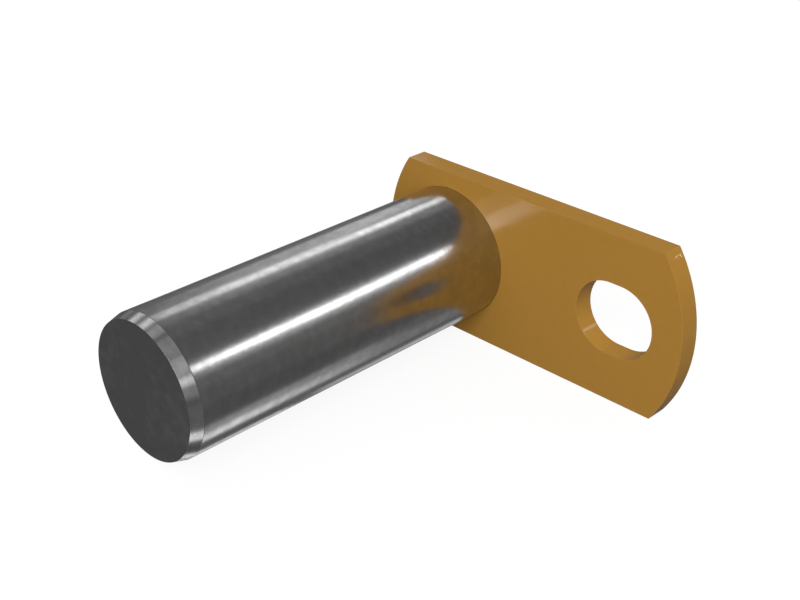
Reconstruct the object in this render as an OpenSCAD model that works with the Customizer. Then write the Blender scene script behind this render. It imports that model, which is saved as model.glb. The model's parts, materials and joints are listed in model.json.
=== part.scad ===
// Linkage pin with a flag: a ground steel bar that goes through a slotted flag
// plate and is welded to it on the outer side.
// The origin is on the bar's axis, at the flag's inner face. The bar runs to -Y,
// the flag's length lies along X with its slot on the +X side, and Z is up.

/* [Pin] */
// Diameter of the ground shank
pin_d = 40; // [25:0.5:41]
// Length of the shank, from the flag's inner face to its free end
pin_l = 110; // [40:1:300]
// Length of the lead-in taper at the free end
lead_l = 3.5; // [1:0.5:12]
// Depth of the lead-in taper, on the radius
lead_depth = 1; // [0.5:0.1:4]
// Edge break round the free end's face
face_break = 0.2; // [0.1:0.05:0.5]
// Depth to which the stub behind the shank is turned down, on the radius
stub_relief = 0.25; // [0.1:0.05:2]
// Length of the stub that stands clear of the weld
stub_clear = 0.6; // [0.2:0.1:6]
// Edge break round the stub's end
stub_break = 0.8; // [0.2:0.1:1.5]

/* [Flag plate] */
// Thickness of the plate
flag_t = 6.5; // [3:0.5:16]
// Width of the plate, between its straight edges
flag_w = 50; // [48.5:0.5:64]
// Distance from the pin's axis to the crown of the near end
near_end = 25; // [24.5:0.5:34]
// Distance from the slot's centre to the crown of the far end
far_end = 22; // [14:0.5:40]
// Radius of the arc that cuts each end
end_r = 44; // [32:1:120]
// Edge break round the plate, the slot and the hole
edge_break = 0.3; // [0.1:0.05:0.8]
// Radial clearance between the plate's hole and the ground shank
hole_clearance = 0.1; // [0.05:0.05:0.4]

/* [Slot] */
// Distance from the pin's axis to the slot's centre
slot_x = 60; // [42:0.5:110]
// Width of the slot
slot_w = 21.5; // [8:0.5:24.5]
// Length of the slot, from end to end
slot_l = 25; // [22:0.5:32]

/* [Weld] */
// Leg of the fillet weld, along the plate and along the stub
weld_leg = 3.6; // [1.5:0.1:4.5]
// Height of the weld's crown above the straight line between its toes
weld_crown = 0.5; // [0.1:0.1:1]

/* [Hidden] */

$fn = 144;
cut_over = 1; // how far a cutting shape reaches past what it cuts
steel_colour = [0.62, 0.63, 0.64];
paint_colour = [0.60, 0.43, 0.16];

pin_r = pin_d / 2;
lead_r = pin_r - lead_depth;
stub_r = pin_r - stub_relief;
stub_end = flag_t + weld_leg + stub_clear + stub_break;

hole_r = pin_r + hole_clearance;
slot_r = slot_w / 2;
slot_straight = slot_l - slot_w;
far_crown = slot_x + far_end;
bar_l = near_end + far_crown + 2 * cut_over;

weld_half_chord = weld_leg / sqrt(2);
weld_face_r = (pow(weld_half_chord, 2) + pow(weld_crown, 2)) / (2 * weld_crown);
weld_face_centre = weld_leg / 2 - (weld_face_r - weld_crown) / sqrt(2);

// Turns a shape made round Z so that its Z runs along -Y, towards the free end
module towards_free_end() {
    rotate([90, 0, 0]) children();
}

// Turns a shape made round Z so that its Z runs along +Y, through the plate
module through_plate() {
    rotate([-90, 0, 0]) children();
}

// Turns a section drawn as width and thickness so that it is swept along +X
module along_flag(length) {
    rotate([0, 90, 0])
        linear_extrude(length)
            children();
}

// Half section of the bar: the radius along X, and along Y the distance from the
// flag's inner face towards the free end
module pin_section() {
    polygon([
        [0, -stub_end],
        [stub_r - stub_break, -stub_end],
        [stub_r, -stub_end + stub_break],
        [stub_r, 0],
        [pin_r, 0],
        [pin_r, pin_l - lead_l],
        [lead_r, pin_l - face_break],
        [lead_r - face_break, pin_l],
        [0, pin_l],
    ]);
}

module pin() {
    color(steel_colour)
        towards_free_end()
            rotate_extrude()
                pin_section();
}

// Section of the plate: the width along X and the thickness along Y
module plate_section(half_width) {
    polygon([
        [-half_width + edge_break, 0],
        [half_width - edge_break, 0],
        [half_width, edge_break],
        [half_width, flag_t - edge_break],
        [half_width - edge_break, flag_t],
        [-half_width + edge_break, flag_t],
        [-half_width, flag_t - edge_break],
        [-half_width, edge_break],
    ]);
}

// The flat bar that the flag is cut from, longer than the flag at both ends
module flat_bar() {
    translate([-near_end - cut_over, 0, 0])
        along_flag(bar_l)
            plate_section(flag_w / 2);
}

// What one end's arc leaves of a wide plate: a disc whose rim is the arc, and all
// of the plate on the side of the disc's centre to which way points
module rounded_end(centre, way) {
    translate([centre, 0, 0])
        mirror([(1 - way) / 2, 0, 0]) {
            along_flag(bar_l)
                plate_section(end_r);
            through_plate()
                rotate_extrude()
                    intersection() {
                        plate_section(end_r);
                        square([end_r, flag_t]);
                    }
        }
}

// Half section of a cutter through the plate, opened at both faces by the edge break
module cutter_section(radius) {
    mouth = radius + edge_break + cut_over;
    polygon([
        [0, -cut_over],
        [mouth, -cut_over],
        [radius, edge_break],
        [radius, flag_t - edge_break],
        [mouth, flag_t + cut_over],
        [0, flag_t + cut_over],
    ]);
}

module round_cutter(radius) {
    through_plate()
        rotate_extrude()
            cutter_section(radius);
}

// The slot is a round cutter at each end with a straight stretch between them
module slot_cutter() {
    for (side = [-1, 1])
        translate([slot_x + side * slot_straight / 2, 0, 0])
            round_cutter(slot_r);
    translate([slot_x - slot_straight / 2, 0, 0])
        along_flag(slot_straight)
            for (side = [0, 1])
                mirror([side, 0])
                    cutter_section(slot_r);
}

module flag_plate() {
    color(paint_colour)
        difference() {
            intersection() {
                flat_bar();
                rounded_end(end_r - near_end, 1);
                rounded_end(far_crown - end_r, -1);
            }
            round_cutter(hole_r);
            slot_cutter();
        }
}

// Section of the fillet weld, from the corner between the stub and the outer face:
// a square corner whose outer side is an arc through both toes
module weld_section() {
    intersection() {
        square(weld_leg);
        translate([weld_face_centre, weld_face_centre])
            circle(weld_face_r);
    }
}

module weld_bead() {
    color(paint_colour)
        translate([0, flag_t, 0])
            through_plate()
                rotate_extrude()
                    translate([stub_r, 0])
                        weld_section();
}

pin();
flag_plate();
weld_bead();
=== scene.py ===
"""Linkage pin: the finished look of a ground steel pin welded into a painted flag plate.

It is laid out as an add-on, with one operator for each piece and one for the stage.
Lengths are in metres. The pin's axis is Y, with its free end towards -Y. The flag
plate lies across it with its slot towards +X, and Z is up.
"""

import json
from collections import namedtuple
from math import asin, atan2, cos, exp, hypot, pi, radians, sin, sqrt, tan, tau

import bmesh
import bpy
from bpy.props import FloatProperty, FloatVectorProperty, IntProperty, PointerProperty
from mathutils import Matrix, Vector, noise


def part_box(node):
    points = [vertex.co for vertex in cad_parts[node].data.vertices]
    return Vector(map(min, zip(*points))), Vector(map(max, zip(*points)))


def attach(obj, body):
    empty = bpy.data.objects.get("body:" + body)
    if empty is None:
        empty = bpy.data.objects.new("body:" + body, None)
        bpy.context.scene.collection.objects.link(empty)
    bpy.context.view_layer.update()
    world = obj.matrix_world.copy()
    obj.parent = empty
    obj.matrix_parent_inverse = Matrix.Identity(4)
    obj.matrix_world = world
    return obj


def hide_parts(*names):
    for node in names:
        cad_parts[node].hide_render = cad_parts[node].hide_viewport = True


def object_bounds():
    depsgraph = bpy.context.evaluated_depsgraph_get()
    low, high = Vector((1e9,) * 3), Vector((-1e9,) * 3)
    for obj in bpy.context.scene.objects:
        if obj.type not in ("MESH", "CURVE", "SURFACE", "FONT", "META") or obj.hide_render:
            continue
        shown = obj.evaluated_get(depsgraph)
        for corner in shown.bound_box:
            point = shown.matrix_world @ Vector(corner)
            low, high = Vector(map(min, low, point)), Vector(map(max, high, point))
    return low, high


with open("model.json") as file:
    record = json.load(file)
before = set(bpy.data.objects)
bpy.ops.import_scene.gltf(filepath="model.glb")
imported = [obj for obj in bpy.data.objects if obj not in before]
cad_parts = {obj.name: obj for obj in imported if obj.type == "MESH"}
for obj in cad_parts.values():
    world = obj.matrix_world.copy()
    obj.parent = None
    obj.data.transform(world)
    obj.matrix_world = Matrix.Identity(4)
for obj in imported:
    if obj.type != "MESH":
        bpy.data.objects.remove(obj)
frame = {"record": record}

bl_info = {
    "name": "Linkage Pin",
    "version": (1, 0, 0),
    "blender": (4, 5, 0),
    "location": "3D View > Sidebar > Linkage Pin",
    "description": "Builds a flagged linkage pin with its steel, paint, weld and studio",
    "category": "Add Mesh",
}

MM = 0.001
SAME_PLACE = 0.001 * MM
AXIS = Vector((0, 1, 0))

CAD_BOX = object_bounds()

BAR_LOW, BAR_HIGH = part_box("pin")
FLAG_LOW, FLAG_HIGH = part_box("flag_plate")
WELD_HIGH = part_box("weld_bead")[1]
MOUNTS = {mount["name"]: mount for mount in frame["record"]["mounts"]}
SHANK_MOUNT = MOUNTS["pin_shank"]["dims"]
SLOT_MOUNT = MOUNTS["retaining_slot"]["dims"]


# Settings

def length(name, description, default):
    return FloatProperty(name=name, description=description, default=default, min=0,
                         precision=5, subtype="DISTANCE", unit="LENGTH")


def angle(name, description, degrees):
    return FloatProperty(name=name, description=description, default=radians(degrees),
                         subtype="ANGLE", unit="ROTATION")


def share(name, description, default):
    return FloatProperty(name=name, description=description, default=default, min=0, max=1,
                         subtype="FACTOR")


def colour(name, description, default):
    return FloatVectorProperty(name=name, description=description, default=default, size=3,
                               min=0, max=1, subtype="COLOR")


class BarSettings(bpy.types.PropertyGroup):
    """Sizes of the round bar."""
    shank_radius: length("Shank radius", "Radius of the ground shank", BAR_HIGH.x)
    shank_length: length("Shank length", "From the flag's inner face to the free end", -BAR_LOW.y)
    parallel_length: length("Parallel length", "From the flag's inner face to the lead-in taper",
                            SHANK_MOUNT["length_mm"] * MM)
    lead_depth: length("Lead-in depth", "How far the taper goes in, on the radius", 1.0 * MM)
    face_break: length("Face edge break", "Rounding of the free end's rim", 0.01 * MM)
    shoulder_break: length("Shoulder break", "Rounding where the taper meets the shank", 0.12 * MM)
    seat_depth: length("Seat depth", "How far the full shank goes into the flag", 0.5 * MM)
    stub_relief: length("Stub relief", "How much the stub is turned down, on the radius", 0.25 * MM)
    stub_length: length("Stub length", "From the flag's inner face to the stub's end", BAR_HIGH.y)
    stub_break: length("Stub edge break", "Rounding of the stub's rim", 0.8 * MM)
    facets: IntProperty(name="Facets", description="Flat faces round the bar", default=240, min=48)


class FlagSettings(bpy.types.PropertyGroup):
    """Sizes of the flag plate."""
    thickness: length("Thickness", "Thickness of the plate", FLAG_HIGH.y)
    half_width: length("Half width", "From the pin's axis to a straight edge", FLAG_HIGH.z)
    near_end: length("Near end", "From the pin's axis to the near end's crown", -FLAG_LOW.x)
    far_end: length("Far end", "From the pin's axis to the far end's crown", FLAG_HIGH.x)
    end_radius: length("End radius", "Radius of the arc that cuts each end", 44 * MM)
    hole_clearance: length("Hole clearance", "Gap round the shank, on the radius", 0.02 * MM)
    slot_x: length("Slot place", "From the pin's axis to the slot's centre",
                   MOUNTS["retaining_slot"]["pos_m"][0])
    slot_radius: length("Slot radius", "Half of the slot's width", SLOT_MOUNT["hole_r_mm"] * MM)
    slot_length: length("Slot length", "From end to end", SLOT_MOUNT["slot_length_mm"] * MM)
    edge_break: length("Edge break", "Rounding of the plate's rims", 0.12 * MM)
    hole_break: length("Hole edge break", "Rounding of the hole's rims", 0.06 * MM)
    arc_step: angle("Arc step", "Angle between two points of an arc", 1.5)


class WeldSettings(bpy.types.PropertyGroup):
    """Sizes of the fillet weld."""
    leg: length("Leg", "Along the plate and along the stub", WELD_HIGH.y - FLAG_HIGH.y)
    crown: length("Crown", "Height above the straight line between the toes", 0.5 * MM)
    root_depth: length("Root depth", "How far the toes sink into the metal", 0.1 * MM)
    ripples: IntProperty(name="Ripples", description="Ripples round the bead", default=88, min=12)
    ripple_height: length("Ripple height", "From the ridges to the valleys", 0.16 * MM)
    wander: length("Wander", "How far the bead's face wanders", 0.14 * MM)
    stop_angle: angle("Stop mark", "Where the bead ends over its own start", 205)
    stop_height: length("Stop height", "How far the bead stands up at its stop mark", 0.32 * MM)
    stop_reach: angle("Stop reach", "How far round the raised stop mark reaches", 6)
    crater_depth: length("Crater depth", "Depth of the crater that ends the bead", 0.40 * MM)
    crater_place: angle("Crater place", "From the stop mark to the crater", 9)
    crater_reach: angle("Crater reach", "How far round the crater reaches", 3.5)
    facets: IntProperty(name="Facets", description="Steps round the bead", default=960, min=120)


class FinishSettings(bpy.types.PropertyGroup):
    """Colours and gloss of the steel and the paint."""
    steel: colour("Steel", "Ground steel", (0.54, 0.54, 0.54))
    steel_smudge: colour("Smudged steel", "Steel under an oily hand mark", (0.455, 0.455, 0.45))
    steel_roughness: share("Steel roughness", "Roughness of the ground shank", 0.185)
    face_steel: colour("Faced end", "Turned steel under a film of old oil", (0.485, 0.485, 0.485))
    face_smudge: colour("Smudged end", "The faced end's darker patches", (0.38, 0.38, 0.38))
    face_roughness: share("Faced end roughness", "Roughness of the turned end face", 0.34)
    paint: colour("Paint", "Ochre paint on the flag", (0.335, 0.172, 0.0315))
    paint_shade: colour("Shaded paint", "The paint's darker patches", (0.326, 0.166, 0.0300))
    paint_edge: colour("Paint on edges", "Thin paint along an edge", (0.37, 0.205, 0.048))
    # Pale primer for the chips on the flag's far corner, set light enough to also be a painted
    # glint there
    primer_and_glint: colour("Primer", "Pale primer under chipped paint", (0.72, 0.52, 0.34))
    paint_roughness: share("Paint roughness", "Roughness of the satin paint", 0.10)
    paint_gloss: share("Paint gloss", "Strength of the paint's reflections", 0.2)


class StageSettings(bpy.types.PropertyGroup):
    """Camera, floor and the studio's general light."""
    camera_place: FloatVectorProperty(name="Camera place", description="Where the camera stands",
                                      default=(0.23664, -0.25593, 0.17136), size=3,
                                      precision=5, subtype="TRANSLATION", unit="LENGTH")
    camera_azimuth: angle("Camera azimuth", "Turned from looking along +Y", 45.210)
    camera_elevation: angle("Camera elevation", "How far it looks down", 28.349)
    camera_roll: angle("Camera roll", "How far the picture leans", -0.167)
    lens: FloatProperty(name="Lens", description="Focal length on a 36 mm sensor",
                        default=58.672, min=1, subtype="DISTANCE_CAMERA", unit="CAMERA")
    floor_radius: length("Floor radius", "Radius of the round floor", 0.9)
    floor_colour: colour("Floor", "Pale floor", (0.95, 0.95, 0.95))
    floor_glow: share("Floor glow", "Even light from the floor, as on a light table", 0.95)
    floor_shade: share("Floor shade", "How much of the studio's light the floor shows", 0.1)
    room_light: FloatProperty(name="Room light", description="Brightness of the dim studio",
                              default=0.12, min=0)
    light_reach: length("Light reach", "From the pin to the studio's lights", 1.0)


# Lights of the studio. around is the angle about the pin's axis, from +X towards +Z, and
# along is how far the light leans from there towards +Y, both in degrees as seen from the
# pin, as are its width around and its length along. brightness is the radiance.
Softbox = namedtuple("Softbox", "name around along width length brightness")

# What the steel mirrors: strips and glows for the shank, smaller lights for the lead-in
# taper, two for the sheen on the flag, and dim boards in place of the paint's lights
SOFTBOXES = (
    Softbox("main_strip", 34.9, 29, 7.5, 13, 5.2),
    Softbox("main_glow", 26, 29, 11, 13, 0.28),
    Softbox("main_strip_back", 38.5, 44, 8, 15, 4.3),
    Softbox("dim_glow", -4, 28, 36, 20, 0.03),
    Softbox("dim_glow_upper", 12, 27, 14, 16, 0.045),
    Softbox("crown_glow", 76, 24, 52, 12, 0.02),
    Softbox("crown_glow_upper", 98, 30, 22, 22, 0.04),
    Softbox("second_strip", 134, 25.5, 16, 6, 1.15),
    Softbox("second_strip_middle", 133, 31.5, 15, 6, 1.75),
    Softbox("second_strip_back", 130.5, 38, 11, 6.5, 2.6),
    Softbox("second_glow", 156, 25.5, 22, 6, 0.24),
    Softbox("second_glow_middle", 156, 31.5, 24, 6, 0.45),
    Softbox("second_glow_back", 156, 38, 26, 6.5, 0.68),
    Softbox("upper_glow", 116, 34, 15, 22, 0.19),
    Softbox("left_glow", 174, 28, 20, 18, 0.07),
    Softbox("left_strip", 203, 34, 14, 22, 0.3),
    Softbox("low_strip", -76, 20, 15, 14, 1.15),
    Softbox("low_strip_middle", -76, 29.5, 16, 5, 0.6),
    Softbox("low_strip_back", -76, 36, 20, 10, 0.14),
    Softbox("low_glow", -61, 27, 13, 14, 0.32),
    Softbox("low_glow_back", -56, 38, 22, 10, 0.05),
    Softbox("under_strip", -116, 23, 12, 10, 0.74),
    Softbox("under_strip_back", -111, 37, 16, 14, 0.5),
    Softbox("under_edge", -128, 33, 9, 26, 0.42),
    Softbox("under_glow", -140, 33, 14, 26, 0.8),
    Softbox("taper_right", 24, -11, 12, 14, 1.25),
    Softbox("taper_right_low", 7, -11, 14, 14, 0.22),
    Softbox("taper_right_high", 46, -11, 24, 14, 0.48),
    Softbox("taper_top", 76, -10, 30, 14, 0.25),
    Softbox("taper_top_left", 106, -6, 16, 14, 0.4),
    Softbox("taper_left_high", 126, -2, 12, 14, 1.05),
    Softbox("taper_left", 147, 3, 12, 14, 0.95),
    Softbox("taper_left_low", 170, 8, 14, 14, 0.17),
    Softbox("taper_under_right", -60, -1, 15, 14, 1.4),
    Softbox("taper_under", -106, 9, 14, 12, 0.95),
    Softbox("taper_under_left", -122, 15, 12, 10, 0.5),
    Softbox("taper_low_glow", -30, -1, 40, 14, 0.07),
    Softbox("sheen_strip", 50, -39, 28, 8, 18),
    Softbox("sheen_glow", 80, -39, 28, 8, 4.5),
    Softbox("key_board", 52, -45, 30, 24, 1.1),
    Softbox("front_board", 60, -76, 120, 26, 0.5),
    Softbox("right_board", 20, -28, 50, 14, 0.8),
    Softbox("left_board", 130, -28, 70, 14, 0.7),
    Softbox("top_board", 100, 68, 100, 14, 1.0),
    Softbox("back_board", 0, 62, 90, 18, 0.7),
)

# Strong lights for the paint, which no surface mirrors
PAINT_LIGHTS = (
    Softbox("key", 52, -45, 30, 24, 5.8),
    Softbox("front_fill", 60, -76, 120, 26, 2.2),
    Softbox("right_fill", 20, -28, 50, 14, 7.0),
    Softbox("left_fill", 130, -28, 70, 14, 0.9),
    Softbox("top_back", 100, 68, 100, 14, 11.2),
    Softbox("right_back", 0, 62, 90, 18, 0.7),
)


# Node trees

NODE_SPACING = 180

# Sockets of a colour Mix node, which have to be named by their place in it
MIX_FACTOR, MIX_FIRST, MIX_SECOND = 0, 6, 7
MIX_RESULT = 2


class Graph:
    """Adds nodes to a tree, from left to right, and joins them."""

    def __init__(self, tree):
        self.tree = tree
        self.count = 0

    def node(self, kind, inputs=None, **settings):
        """Adds a node. An input is a value, or the output of another node."""
        made = self.tree.nodes.new(kind)
        made.location = (NODE_SPACING * self.count, 0)
        self.count += 1
        for name, value in settings.items():
            setattr(made, name, value)
        for name, value in (inputs or {}).items():
            if isinstance(value, bpy.types.NodeSocket):
                self.tree.links.new(value, made.inputs[name])
            else:
                made.inputs[name].default_value = value
        return made

    def maths(self, operation, first, second=0.0, clamp=False):
        made = self.node("ShaderNodeMath", {0: first, 1: second},
                         operation=operation, use_clamp=clamp)
        return made.outputs["Value"]

    def times(self, first, second):
        return self.node("ShaderNodeVectorMath", {0: first, 1: second},
                         operation="MULTIPLY").outputs["Vector"]

    def fit(self, value, low, high, new_low, new_high):
        """Maps low..high to new_low..new_high with soft ends."""
        made = self.node("ShaderNodeMapRange",
                         {"Value": value, "From Min": low, "From Max": high,
                          "To Min": new_low, "To Max": new_high},
                         interpolation_type="SMOOTHSTEP")
        return made.outputs["Result"]

    def blend(self, mask, first, second):
        """Mixes two colours by a mask's output. A colour is an output or (red, green, blue)."""
        made = self.node("ShaderNodeMix", {MIX_FACTOR: mask}, data_type="RGBA")
        for index, value in ((MIX_FIRST, first), (MIX_SECOND, second)):
            if isinstance(value, bpy.types.NodeSocket):
                self.tree.links.new(value, made.inputs[index])
            else:
                made.inputs[index].default_value = (*value, 1)
        return made.outputs[MIX_RESULT]


def shared_group(name, inputs, output, build):
    """The node group of that name, made the first time that a material asks for it.

    inputs holds (name, socket type, default), and build makes the output from them.
    """
    group = bpy.data.node_groups.get(name)
    if group:
        return group
    group = bpy.data.node_groups.new(name, "ShaderNodeTree")
    for label, kind, default in inputs:
        socket = group.interface.new_socket(label, in_out="INPUT", socket_type=kind)
        socket.default_value = default
    group.interface.new_socket(output, in_out="OUTPUT", socket_type="NodeSocketFloat")
    graph = Graph(group)
    given = graph.node("NodeGroupInput").outputs
    made = build(graph, given)
    graph.node("NodeGroupOutput", {output: made})
    return group


# The value that noise varies round
NOISE_MIDDLE = 0.5

# Noise above which a patch of scratches is at its full strength
SCRATCH_FULL = 0.75

# How many times its size a nick reaches before it has faded out
NICK_RIM = 2.0

# Noise at which an edge is least and most worn, and the least wear
EDGE_NOISE = (0.35, 0.7)
EDGE_LEAST = 0.25


def grain_group():
    """Fine noise, drawn out along the directions in which its density is low."""
    def build(graph, given):
        place = graph.times(given["Position"], given["Density"])
        made = graph.node("ShaderNodeTexNoise",
                          {"Vector": place, "Scale": 1.0, "Detail": given["Detail"],
                           "Roughness": 0.55})
        return made.outputs["Fac"]

    return shared_group("Grain", (
        ("Position", "NodeSocketVector", (0, 0, 0)),
        ("Density", "NodeSocketVector", (1000, 1000, 1000)),
        ("Detail", "NodeSocketFloat", 3.0),
    ), "Height", build)


def smudge_group():
    """Broad soft patches, such as hand marks and uneven paint."""
    def build(graph, given):
        made = graph.node("ShaderNodeTexNoise",
                          {"Vector": given["Position"], "Scale": given["Scale"],
                           "Detail": 4.0, "Roughness": 0.5, "Distortion": 0.6})
        low = graph.maths("SUBTRACT", NOISE_MIDDLE, given["Softness"])
        high = graph.maths("ADD", NOISE_MIDDLE, given["Softness"])
        return graph.fit(made.outputs["Fac"], low, high, 0.0, 1.0)

    return shared_group("Smudge", (
        ("Position", "NodeSocketVector", (0, 0, 0)),
        ("Scale", "NodeSocketFloat", 80.0),
        ("Softness", "NodeSocketFloat", 0.2),
    ), "Mask", build)


def scratch_group():
    """Thin stray lines, where a drawn-out noise passes its middle value."""
    def build(graph, given):
        place = graph.times(given["Position"], given["Density"])
        lines = graph.node("ShaderNodeTexNoise",
                           {"Vector": place, "Scale": 1.0, "Detail": 1.0, "Distortion": 0.8})
        away = graph.maths("ABSOLUTE",
                           graph.maths("SUBTRACT", lines.outputs["Fac"], NOISE_MIDDLE))
        line = graph.fit(away, 0.0, given["Width"], 1.0, 0.0)
        where = graph.node("ShaderNodeTexNoise",
                           {"Vector": given["Position"], "Scale": 140.0, "Detail": 2.0})
        patch = graph.fit(where.outputs["Fac"], given["Threshold"], SCRATCH_FULL, 0.0, 1.0)
        return graph.maths("MULTIPLY", line, patch)

    return shared_group("Scratches", (
        ("Position", "NodeSocketVector", (0, 0, 0)),
        ("Density", "NodeSocketVector", (300, 300, 300)),
        ("Width", "NodeSocketFloat", 0.01),
        ("Threshold", "NodeSocketFloat", 0.58),
    ), "Mask", build)


def nick_group():
    """Small sparse nicks: a spot in a few of the cells of a cell pattern."""
    def build(graph, given):
        cells = graph.node("ShaderNodeTexVoronoi",
                           {"Vector": given["Position"], "Scale": given["Scale"],
                            "Randomness": 1.0})
        spot = graph.fit(cells.outputs["Distance"], given["Size"],
                         graph.maths("MULTIPLY", given["Size"], NICK_RIM), 1.0, 0.0)
        chance = graph.node("ShaderNodeSeparateColor", {"Color": cells.outputs["Color"]})
        chosen = graph.maths("LESS_THAN", chance.outputs["Red"], given["Share"])
        return graph.maths("MULTIPLY", spot, chosen)

    return shared_group("Nicks", (
        ("Position", "NodeSocketVector", (0, 0, 0)),
        ("Scale", "NodeSocketFloat", 130.0),
        ("Size", "NodeSocketFloat", 0.05),
        ("Share", "NodeSocketFloat", 0.05),
    ), "Mask", build)


def edge_wear_group():
    """The rounded edges of a piece, broken up by noise. Edge is the piece's own mark."""
    def build(graph, given):
        made = graph.node("ShaderNodeTexNoise",
                          {"Vector": given["Position"], "Scale": given["Scale"], "Detail": 3.0})
        broken = graph.fit(made.outputs["Fac"], *EDGE_NOISE, EDGE_LEAST, 1.0)
        return graph.maths("MULTIPLY", broken, given["Edge"], clamp=True)

    return shared_group("Edge wear", (
        ("Position", "NodeSocketVector", (0, 0, 0)),
        ("Edge", "NodeSocketFloat", 0.0),
        ("Scale", "NodeSocketFloat", 400.0),
    ), "Mask", build)


# Materials

# The face attribute that marks a piece's rounded edges
EDGE_MARK = "edge"

# The range that nearly all values of the broad mottle and of the fine tool marks are in
MOTTLE_RANGE = (0.36, 0.64)
MARKS_RANGE = (0.3, 0.7)

# Steel: what the mottle adds to the oil film, how bright a scratch and bare metal are,
# what the tool marks and the film add to the roughness, and how deep a scratch is
FILM_MOTTLE = 0.7
SCRATCH_SHINE = 0.35
BARE_STEEL = (0.65, 0.65, 0.65)
MARKS_ROUGHNESS = 0.02
FILM_ROUGHNESS = 0.03
SCRATCH_DEPTH = 0.8

# Paint: how much the patches and the mottle shade it, how much an edge and a scratch
# lighten it, and what the patches and the bead's rough metal add to the roughness
PATCH_SHADE = 0.4
MOTTLE_SHADE = 0.6
EDGE_LIGHTER = 0.15
SCRATCH_LIGHTER = 0.15
PATCH_ROUGHNESS = (-0.02, 0.03)
BEAD_ROUGHNESS = 0.08

# Paint that is itself seen in a reflection is rougher, so that the bar doesn't repeat the
# flag's sheen
REFLECTED_ROUGHNESS = 0.6

# Chips on the flag's far upper corner, whose pale primer is also a painted glint there: their
# middle, their reach each way, the share of the reach in which they are whole, their fineness, and
# the noise from which paint is missing
CHIP_GLINT_PLACE = (75.5 * MM, 4.7 * MM, 23.1 * MM)
CHIP_GLINT_REACH = (2 * MM, 2.7 * MM, 0.5 * MM)
CHIP_GLINT_CORE = 0.5
CHIP_GLINT_DENSITY = (1900, 1900, 1900)
CHIP_GLINT_NOISE = (0.5, 0.58)


def new_material(name):
    """A material with an empty tree, its graph and the object's own coordinates."""
    material = bpy.data.materials.new(name)
    material.use_nodes = True
    material.node_tree.nodes.clear()
    graph = Graph(material.node_tree)
    place = graph.node("ShaderNodeTexCoord").outputs["Object"]
    return material, graph, place


def use_group(graph, group, **inputs):
    """Places a shared group and returns its one output."""
    return graph.node("ShaderNodeGroup", inputs, node_tree=group).outputs[0]


def bump(graph, height, strength, distance, **under):
    """Tilts the surface by a height. under may hold the Normal of another bump below it."""
    made = graph.node("ShaderNodeBump", {"Height": height, "Strength": strength,
                                         "Distance": distance, **under})
    return made.outputs["Normal"]


def surface(graph, sockets):
    """The shader itself and the material's output."""
    shader = graph.node("ShaderNodeBsdfPrincipled", sockets)
    graph.node("ShaderNodeOutputMaterial", {"Surface": shader.outputs["BSDF"]})


def chip_and_glint_mask(graph, place):
    """A short row of chips where the flag's far corner has been knocked, whose pale primer is also
    a painted glint there.
    """
    away = graph.node("ShaderNodeVectorMath", {0: place, 1: CHIP_GLINT_PLACE}, operation="SUBTRACT")
    per_reach = tuple(1 / reach for reach in CHIP_GLINT_REACH)
    spread = graph.times(away.outputs["Vector"], per_reach)
    distance = graph.node("ShaderNodeVectorMath", {0: spread}, operation="LENGTH")
    near = graph.fit(distance.outputs["Value"], CHIP_GLINT_CORE, 1.0, 1.0, 0.0)
    grain = use_group(graph, grain_group(), Position=place, Density=CHIP_GLINT_DENSITY, Detail=1.0)
    return graph.maths("MULTIPLY", near, graph.fit(grain, *CHIP_GLINT_NOISE, 0.0, 1.0))


def steel_material(name, steel, smudged_steel, roughness, grain_density, smudge_scale,
                   smudge_share, nick_share):
    """Bare steel: fine tool marks along one direction, oily smudges, scratches and nicks."""
    material, graph, place = new_material(name)
    marks = use_group(graph, grain_group(), Position=place, Density=grain_density, Detail=4.0)
    mottle = use_group(graph, grain_group(), Position=place, Density=(330, 330, 330), Detail=5.0)
    smudge = use_group(graph, smudge_group(), Position=place, Scale=smudge_scale, Softness=0.18)
    scratch = use_group(graph, scratch_group(), Position=place, Density=(260, 90, 260),
                        Width=0.006, Threshold=0.6)
    nick = use_group(graph, nick_group(), Position=place, Scale=420.0, Size=0.08,
                     Share=nick_share)
    film = graph.maths("ADD", graph.maths("MULTIPLY", smudge, smudge_share),
                       graph.fit(mottle, *MOTTLE_RANGE, 0.0, FILM_MOTTLE))
    oily = graph.blend(film, tuple(steel), tuple(smudged_steel))
    shine = graph.maths("MULTIPLY", scratch, SCRATCH_SHINE)
    bright = graph.maths("ADD", shine, nick, clamp=True)
    marked = graph.blend(bright, oily, BARE_STEEL)
    uneven = graph.fit(marks, *MARKS_RANGE, -MARKS_ROUGHNESS, MARKS_ROUGHNESS)
    dry = graph.maths("ADD", uneven, roughness)
    rough = graph.maths("ADD", dry, graph.maths("MULTIPLY", film, FILM_ROUGHNESS))
    height = graph.maths("SUBTRACT", marks, graph.maths("MULTIPLY", bright, SCRATCH_DEPTH))
    fine = bump(graph, height, strength=0.10, distance=0.02 * MM)
    waved = bump(graph, mottle, strength=0.25, distance=0.04 * MM, Normal=fine)
    surface(graph, {"Base Color": marked, "Metallic": 1.0, "Roughness": rough,
                    "Normal": waved})
    return material


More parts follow.
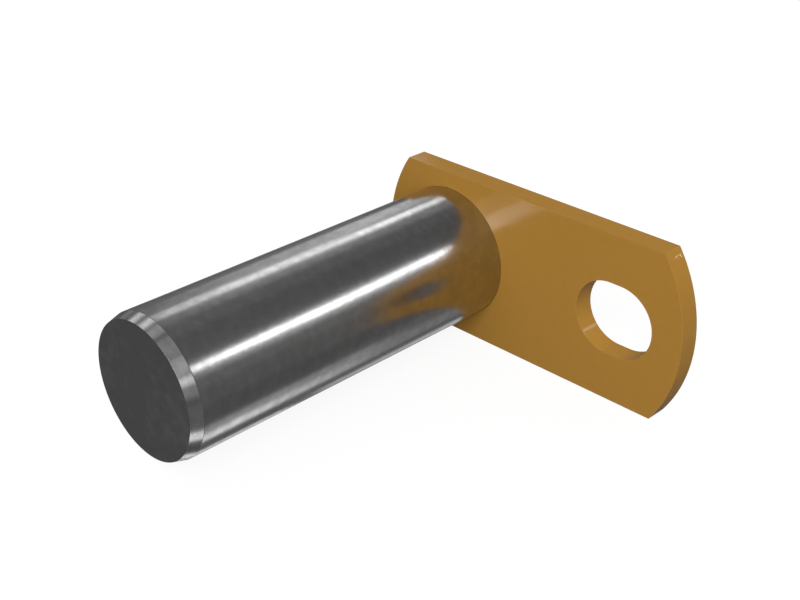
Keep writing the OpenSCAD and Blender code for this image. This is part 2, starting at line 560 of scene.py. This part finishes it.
def paint_material(name, finish, patch_scale, roughness, peel_strength):
    """Satin paint: uneven patches, orange peel and thin, lighter paint along the edges."""
    material, graph, place = new_material(name)
    edge = graph.node("ShaderNodeAttribute", attribute_name=EDGE_MARK).outputs["Fac"]
    patch = use_group(graph, smudge_group(), Position=place, Scale=patch_scale, Softness=0.22)
    wear = use_group(graph, edge_wear_group(), Position=place, Edge=edge, Scale=500.0)
    peel = use_group(graph, grain_group(), Position=place, Density=(900, 900, 900), Detail=2.0)
    mottle = use_group(graph, grain_group(), Position=place, Density=(380, 380, 380), Detail=5.0)
    scratch = use_group(graph, scratch_group(), Position=place, Density=(120, 400, 170),
                        Width=0.004, Threshold=0.66)
    uneven = graph.maths("ADD", graph.maths("MULTIPLY", patch, PATCH_SHADE),
                         graph.fit(mottle, *MOTTLE_RANGE, 0.0, MOTTLE_SHADE))
    body = graph.blend(uneven, tuple(finish.paint), tuple(finish.paint_shade))
    thinned = graph.maths("MULTIPLY", wear, EDGE_LIGHTER)
    worn = graph.blend(thinned, body, tuple(finish.paint_edge))
    scraped = graph.maths("MULTIPLY", scratch, SCRATCH_LIGHTER)
    marked = graph.blend(scraped, worn, tuple(finish.paint_edge))
    # Pale primer in the corner's chips, which also paints the glints there
    chipped = graph.blend(chip_and_glint_mask(graph, place), marked, tuple(finish.primer_and_glint))
    rough = graph.maths("ADD", graph.fit(patch, 0.0, 1.0, *PATCH_ROUGHNESS), roughness)
    reflected = graph.node("ShaderNodeLightPath").outputs["Is Glossy Ray"]
    softened = graph.maths("MAXIMUM", rough,
                           graph.maths("MULTIPLY", reflected, REFLECTED_ROUGHNESS))
    surface(graph, {"Base Color": chipped, "Metallic": 0.0, "Roughness": softened,
                    "Specular IOR Level": finish.paint_gloss,
                    "Normal": bump(graph, peel, peel_strength, distance=0.03 * MM)})
    return material


def ground_steel(finish):
    """The shank and its taper, ground round the axis, so the marks are rings."""
    return steel_material("ground_steel", finish.steel, finish.steel_smudge,
                          finish.steel_roughness, grain_density=(60, 9000, 60),
                          smudge_scale=70.0, smudge_share=0.3, nick_share=0.015)


def faced_steel(finish):
    """The free end's face, where the turned marks are fainter under the oil."""
    return steel_material("faced_steel", finish.face_steel, finish.face_smudge,
                          finish.face_roughness, grain_density=(700, 60, 700),
                          smudge_scale=60.0, smudge_share=0.9, nick_share=0.0)


def flag_paint(finish):
    """The paint on the flag and on the bar's stub."""
    return paint_material("flag_paint", finish, patch_scale=38.0,
                          roughness=finish.paint_roughness, peel_strength=0.10)


def weld_paint(finish):
    """The same paint over the bead, with smaller patches and a rougher skin."""
    return paint_material("weld_paint", finish, patch_scale=300.0,
                          roughness=finish.paint_roughness + BEAD_ROUGHNESS,
                          peel_strength=0.30)


# Mesh helpers

LEAST_ARC_STEPS = 2


def open_wire(mesh, points):
    """Joins (radius, y) points into a wire and returns its vertices and edges."""
    verts = [mesh.verts.new((radius, y, 0)) for radius, y in points]
    return verts + [mesh.edges.new(pair) for pair in zip(verts, verts[1:])]


def spin_round_axis(mesh, geometry, steps):
    """Turns a wire right round the pin's axis and closes its poles."""
    bmesh.ops.spin(mesh, geom=geometry, cent=(0, 0, 0), axis=AXIS, dvec=(0, 0, 0),
                   angle=tau, steps=steps, use_merge=True)
    bmesh.ops.remove_doubles(mesh, verts=mesh.verts, dist=SAME_PLACE)


def on_ring(vert, radius, y):
    return (abs(hypot(vert.co.x, vert.co.z) - radius) < SAME_PLACE
            and abs(vert.co.y - y) < SAME_PLACE)


def ring_edges(mesh, radius, y):
    return [edge for edge in mesh.edges if all(on_ring(vert, radius, y) for vert in edge.verts)]


def round_edges(mesh, edges, size, mark=None, segments=3):
    """Rounds edges and, where a mark is given, writes 1 to it on the new faces."""
    made = bmesh.ops.bevel(mesh, geom=edges, offset=size, offset_type="OFFSET",
                           segments=segments, profile=0.5, affect="EDGES",
                           clamp_overlap=True, material=-1)
    if mark:
        for face in made["faces"]:
            face[mark] = 1.0


def sweep_vertex(mesh, start, centre, axis, swept, steps):
    """Sweeps a vertex about an axis through centre and returns the arc's last vertex."""
    made = bmesh.ops.spin(mesh, geom=[start], cent=centre, axis=axis, dvec=(0, 0, 0),
                          angle=swept, steps=steps)
    return next(item for item in made["geom_last"] if isinstance(item, bmesh.types.BMVert))


def plate_arc(mesh, start, centre_x, swept, step):
    """Sweeps a vertex about a centre on X, in the plate's plane, to the arc's last vertex."""
    steps = max(LEAST_ARC_STEPS, round(swept / step))
    return sweep_vertex(mesh, start, (centre_x, 0, 0), AXIS, swept, steps)


def finish_piece(mesh, name, node, materials):
    """Makes the object, in place of its CAD node, with flat faces that stay flat."""
    bmesh.ops.recalc_face_normals(mesh, faces=mesh.faces)
    for face in mesh.faces:
        face.smooth = True
    data = bpy.data.meshes.new(name)
    mesh.to_mesh(data)
    mesh.free()
    for material in materials:
        data.materials.append(material)
    piece = bpy.data.objects.new(name, data)
    bpy.context.scene.collection.objects.link(piece)
    shading = piece.modifiers.new("Weighted normals", "WEIGHTED_NORMAL")
    shading.weight = 100
    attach(piece, "root")
    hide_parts(node)
    return piece


# Pieces

# Places of the bar's second and third materials
FACED, PAINTED = 1, 2

# Edges that turn by more than this are rims, and are rounded
RIM_ANGLE = radians(20)

# The slot's arcs are short, so their points stand this many times further apart
SLOT_STEP = 2

# How far a ripple bows back at the crown, the level of its middle, how many times the
# bead's face wanders round the pin, and the steps across the bead
RIPPLE_BOW = 0.9
RIPPLE_MIDDLE = 0.6
WANDERS = 3
BEAD_STEPS = 12


def build_bar(bar, finish):
    """The round bar: faced end, lead-in taper, ground shank and the painted stub."""
    mesh = bmesh.new()
    lead_radius = bar.shank_radius - bar.lead_depth
    stub_radius = bar.shank_radius - bar.stub_relief
    wire = open_wire(mesh, (
        (0, -bar.shank_length),
        (lead_radius, -bar.shank_length),
        (bar.shank_radius, -bar.parallel_length),
        (bar.shank_radius, bar.seat_depth),
        (stub_radius, bar.seat_depth),
        (stub_radius, bar.stub_length),
        (0, bar.stub_length),
    ))
    spin_round_axis(mesh, wire, bar.facets)
    for radius, y, size in (
        (lead_radius, -bar.shank_length, bar.face_break),
        (bar.shank_radius, -bar.parallel_length, bar.shoulder_break),
        (stub_radius, bar.stub_length, bar.stub_break),
    ):
        round_edges(mesh, ring_edges(mesh, radius, y), size)
    for face in mesh.faces:
        middle = face.calc_center_median()
        if middle.y > bar.seat_depth - SAME_PLACE:
            face.material_index = PAINTED
        elif middle.y < -bar.shank_length + SAME_PLACE:
            face.material_index = FACED
    materials = (ground_steel(finish), faced_steel(finish), flag_paint(finish))
    return finish_piece(mesh, "ground_bar", "pin", materials)


def end_outline(mesh, centre_x, crown_way, flag):
    """One arc-cut end of the plate: its two corners, joined by the arc between them."""
    half_angle = asin(flag.half_width / flag.end_radius)
    corner_x = centre_x + crown_way * flag.end_radius * cos(half_angle)
    start = mesh.verts.new((corner_x, 0, crown_way * flag.half_width))
    last = plate_arc(mesh, start, centre_x, 2 * half_angle, flag.arc_step)
    return start, last


def slot_end(mesh, centre_x, way, flag):
    """One round end of the slot, swept through half a turn."""
    start = mesh.verts.new((centre_x, 0, way * flag.slot_radius))
    last = plate_arc(mesh, start, centre_x, pi, flag.arc_step * SLOT_STEP)
    return start, last


def join_ends(mesh, first, second):
    """Joins two swept ends into one closed outline with straight edges."""
    mesh.edges.new((first[1], second[0]))
    mesh.edges.new((second[1], first[0]))


def build_flag(flag, bar, finish):
    """The flag plate: arc-cut ends, the hole round the bar and the slot."""
    mesh = bmesh.new()
    mark = mesh.faces.layers.float.new(EDGE_MARK)
    join_ends(mesh,
              end_outline(mesh, flag.end_radius - flag.near_end, -1, flag),
              end_outline(mesh, flag.far_end - flag.end_radius, 1, flag))
    straight = flag.slot_length / 2 - flag.slot_radius
    join_ends(mesh,
              slot_end(mesh, flag.slot_x - straight, -1, flag),
              slot_end(mesh, flag.slot_x + straight, 1, flag))
    hole_radius = bar.shank_radius + flag.hole_clearance
    bmesh.ops.create_circle(mesh, segments=bar.facets, radius=hole_radius,
                            matrix=Matrix.Rotation(pi / 2, 4, "X"))
    bmesh.ops.triangle_fill(mesh, edges=mesh.edges, use_beauty=True, normal=AXIS)
    raised = bmesh.ops.extrude_face_region(mesh, geom=mesh.faces)["geom"]
    bmesh.ops.translate(mesh, vec=AXIS * flag.thickness,
                        verts=[item for item in raised if isinstance(item, bmesh.types.BMVert)])
    bmesh.ops.recalc_face_normals(mesh, faces=mesh.faces)
    sharp = [edge for edge in mesh.edges if edge.calc_face_angle(0) > RIM_ANGLE]
    hole_rims = [edge for edge in sharp
                 if all(hypot(vert.co.x, vert.co.z) < hole_radius + SAME_PLACE
                        for vert in edge.verts)]
    rims = [edge for edge in sharp if edge not in hole_rims]
    round_edges(mesh, hole_rims, flag.hole_break, segments=2)
    round_edges(mesh, rims, flag.edge_break, mark)
    return finish_piece(mesh, "flag", "flag_plate", [flag_paint(finish)])


def weld_height(turned, across, weld):
    """How far the bead's face stands out at an angle round the pin, in metres.

    across runs from -1 at the stub's toe to 1 at the plate's toe.
    """
    crown = max(0.0, 1 - across * across)
    ripple = (turned / tau * weld.ripples - RIPPLE_BOW * crown) % 1.0
    height = weld.ripple_height * (sin(pi * ripple) - RIPPLE_MIDDLE)
    place = Vector((WANDERS * cos(turned), WANDERS * sin(turned), across))
    height += weld.wander * noise.noise(place)
    past_stop = (turned - weld.stop_angle + pi) % tau - pi
    past_crater = past_stop - weld.crater_place
    height += weld.stop_height * exp(-(past_stop / weld.stop_reach) ** 2)
    height -= weld.crater_depth * exp(-(past_crater / weld.crater_reach) ** 2)
    return height * sqrt(crown)


def build_weld(weld, bar, flag, finish):
    """The fillet weld on the flag's outer side, with its ripples and its stop mark."""
    mesh = bmesh.new()
    stub_radius = bar.shank_radius - bar.stub_relief
    half_chord = weld.leg / sqrt(2)
    face_radius = (half_chord ** 2 + weld.crown ** 2) / (2 * weld.crown)
    centre = weld.leg / 2 - (face_radius - weld.crown) / sqrt(2)
    half_angle = asin(half_chord / face_radius)
    hub = Vector((stub_radius + centre, flag.thickness + centre, 0))
    toe = mesh.verts.new(hub + Vector((face_radius * cos(pi / 4 - half_angle),
                                       face_radius * sin(pi / 4 - half_angle), 0)))
    upper_toe = sweep_vertex(mesh, toe, hub, (0, 0, 1), 2 * half_angle, BEAD_STEPS)
    root = mesh.verts.new((stub_radius - weld.root_depth, flag.thickness - weld.root_depth, 0))
    low_root = mesh.verts.new((toe.co.x, flag.thickness - weld.root_depth, 0))
    high_root = mesh.verts.new((stub_radius - weld.root_depth, upper_toe.co.y, 0))
    for pair in ((toe, low_root), (low_root, root), (root, high_root), (high_root, upper_toe)):
        mesh.edges.new(pair)
    spin_round_axis(mesh, mesh.verts[:] + mesh.edges[:], weld.facets)
    for vert in mesh.verts:
        out = hypot(vert.co.x, vert.co.z)
        turned = atan2(vert.co.z, vert.co.x)
        up = vert.co.y - flag.thickness
        if up < -SAME_PLACE or out < stub_radius - SAME_PLACE:
            continue
        across = (out - stub_radius - up) / weld.leg
        away = Vector((out - hub.x, vert.co.y - hub.y)).normalized()
        height = weld_height(turned, across, weld)
        out += away.x * height
        vert.co = (out * cos(turned), vert.co.y + away.y * height, out * sin(turned))
    return finish_piece(mesh, "weld", "weld_bead", [weld_paint(finish)])


# Stage

FLOOR_FACETS = 96
SENSOR_WIDTH = 36
CLIP_START = 10 * MM


def build_floor(stage):
    """A pale floor under the part. Only the camera sees it, and only from above."""
    mesh = bmesh.new()
    low = CAD_BOX[0][2]
    bmesh.ops.create_circle(mesh, cap_ends=True, segments=FLOOR_FACETS,
                            radius=stage.floor_radius, matrix=Matrix.Translation((0, 0, low)))
    data = bpy.data.meshes.new("floor")
    mesh.to_mesh(data)
    mesh.free()
    floor = bpy.data.objects.new("floor", data)
    bpy.context.scene.collection.objects.link(floor)
    material, graph, _ = new_material("pale_floor")
    shade = tuple(stage.floor_shade * part for part in stage.floor_colour)
    top = graph.node("ShaderNodeBsdfPrincipled",
                     {"Base Color": (*shade, 1), "Roughness": 0.9,
                      "Emission Color": (*stage.floor_colour, 1),
                      "Emission Strength": stage.floor_glow})
    underside = graph.node("ShaderNodeBsdfTransparent")
    from_below = graph.node("ShaderNodeNewGeometry").outputs["Backfacing"]
    mixed = graph.node("ShaderNodeMixShader", {0: from_below, 1: top.outputs["BSDF"],
                                               2: underside.outputs["BSDF"]})
    graph.node("ShaderNodeOutputMaterial", {"Surface": mixed.outputs["Shader"]})
    data.materials.append(material)
    floor.visible_glossy = False
    floor.visible_diffuse = False


def build_room(stage):
    """A dim even studio, which the camera itself sees as a white backdrop."""
    world = bpy.data.worlds.new("studio")
    world.use_nodes = True
    world.node_tree.nodes.clear()
    graph = Graph(world.node_tree)
    room = graph.node("ShaderNodeBackground", {"Strength": stage.room_light})
    backdrop = graph.node("ShaderNodeBackground", {"Color": (1, 1, 1, 1), "Strength": 1.0})
    room.inputs["Color"].default_value = (1, 1, 1, 1)
    seen = graph.node("ShaderNodeLightPath").outputs["Is Camera Ray"]
    mixed = graph.node("ShaderNodeMixShader",
                       {0: seen, 1: room.outputs["Background"], 2: backdrop.outputs["Background"]})
    graph.node("ShaderNodeOutputWorld", {"Surface": mixed.outputs["Shader"]})
    bpy.context.scene.world = world


def build_softbox(box, reach, mirrored=True):
    """An area light that faces the pin, with two sides in line with the pin's axis."""
    around = radians(box.around)
    along = radians(box.along)
    outward = Vector((cos(along) * cos(around), sin(along), cos(along) * sin(around)))
    lengthwise = Vector((-sin(along) * cos(around), cos(along), -sin(along) * sin(around)))
    data = bpy.data.lights.new(box.name, "AREA")
    data.shape = "RECTANGLE"
    data.size = 2 * reach * cos(along) * tan(radians(box.width) / 2)
    data.size_y = 2 * reach * tan(radians(box.length) / 2)
    data.energy = box.brightness * pi * data.size * data.size_y
    light = bpy.data.objects.new(box.name, data)
    axes = Matrix((lengthwise.cross(outward), lengthwise, outward)).transposed()
    light.matrix_world = Matrix.Translation(outward * reach) @ axes.to_4x4()
    light.visible_camera = False
    light.visible_glossy = mirrored
    bpy.context.scene.collection.objects.link(light)


def build_camera(stage):
    data = bpy.data.cameras.new("camera")
    data.lens = stage.lens
    data.sensor_width = SENSOR_WIDTH
    data.clip_start = CLIP_START
    camera = bpy.data.objects.new("camera", data)
    camera.matrix_world = (Matrix.Translation(stage.camera_place)
                           @ Matrix.Rotation(stage.camera_azimuth, 4, "Z")
                           @ Matrix.Rotation(pi / 2 - stage.camera_elevation, 4, "X")
                           @ Matrix.Rotation(stage.camera_roll, 4, "Z"))
    bpy.context.scene.collection.objects.link(camera)
    bpy.context.scene.camera = camera


# Operators

class LINKAGE_OT_bar(bpy.types.Operator):
    """Builds the ground bar with its taper and its stub"""
    bl_idname = "linkage.bar"
    bl_label = "Ground bar"

    def execute(self, context):
        scene = context.scene
        build_bar(scene.linkage_bar, scene.linkage_finish)
        return {"FINISHED"}


class LINKAGE_OT_flag(bpy.types.Operator):
    """Builds the slotted flag plate"""
    bl_idname = "linkage.flag"
    bl_label = "Flag plate"

    def execute(self, context):
        scene = context.scene
        build_flag(scene.linkage_flag, scene.linkage_bar, scene.linkage_finish)
        return {"FINISHED"}


class LINKAGE_OT_weld(bpy.types.Operator):
    """Builds the fillet weld behind the flag"""
    bl_idname = "linkage.weld"
    bl_label = "Fillet weld"

    def execute(self, context):
        scene = context.scene
        build_weld(scene.linkage_weld, scene.linkage_bar, scene.linkage_flag,
                   scene.linkage_finish)
        return {"FINISHED"}


class LINKAGE_OT_stage(bpy.types.Operator):
    """Builds the floor, the studio's lights and the camera"""
    bl_idname = "linkage.stage"
    bl_label = "Stage"

    def execute(self, context):
        stage = context.scene.linkage_stage
        build_floor(stage)
        build_room(stage)
        for box in SOFTBOXES:
            build_softbox(box, stage.light_reach)
        for box in PAINT_LIGHTS:
            build_softbox(box, stage.light_reach, mirrored=False)
        build_camera(stage)
        context.scene.view_settings.view_transform = "Standard"
        return {"FINISHED"}


class LINKAGE_PT_panel(bpy.types.Panel):
    """Lists the pieces of the linkage pin"""
    bl_label = "Linkage Pin"
    bl_idname = "LINKAGE_PT_panel"
    bl_space_type = "VIEW_3D"
    bl_region_type = "UI"
    bl_category = "Linkage Pin"

    def draw(self, context):
        scene = context.scene
        sections = (
            (scene.linkage_bar, LINKAGE_OT_bar),
            (scene.linkage_flag, LINKAGE_OT_flag),
            (scene.linkage_weld, LINKAGE_OT_weld),
            (scene.linkage_finish, None),
            (scene.linkage_stage, LINKAGE_OT_stage),
        )
        for settings, operator in sections:
            box = self.layout.box()
            for name in settings.__annotations__:
                box.prop(settings, name)
            if operator:
                box.operator(operator.bl_idname)


CLASSES = (BarSettings, FlagSettings, WeldSettings, FinishSettings, StageSettings,
           LINKAGE_OT_bar, LINKAGE_OT_flag, LINKAGE_OT_weld, LINKAGE_OT_stage,
           LINKAGE_PT_panel)

SETTINGS = {
    "linkage_bar": BarSettings,
    "linkage_flag": FlagSettings,
    "linkage_weld": WeldSettings,
    "linkage_finish": FinishSettings,
    "linkage_stage": StageSettings,
}


def register():
    for cls in CLASSES:
        bpy.utils.register_class(cls)
    for name, group in SETTINGS.items():
        setattr(bpy.types.Scene, name, PointerProperty(type=group))


def unregister():
    for name in SETTINGS:
        delattr(bpy.types.Scene, name)
    for cls in reversed(CLASSES):
        bpy.utils.unregister_class(cls)


def main():
    register()
    bpy.ops.linkage.bar()
    bpy.ops.linkage.flag()
    bpy.ops.linkage.weld()
    bpy.ops.linkage.stage()


if __name__ == "__main__":
    main()
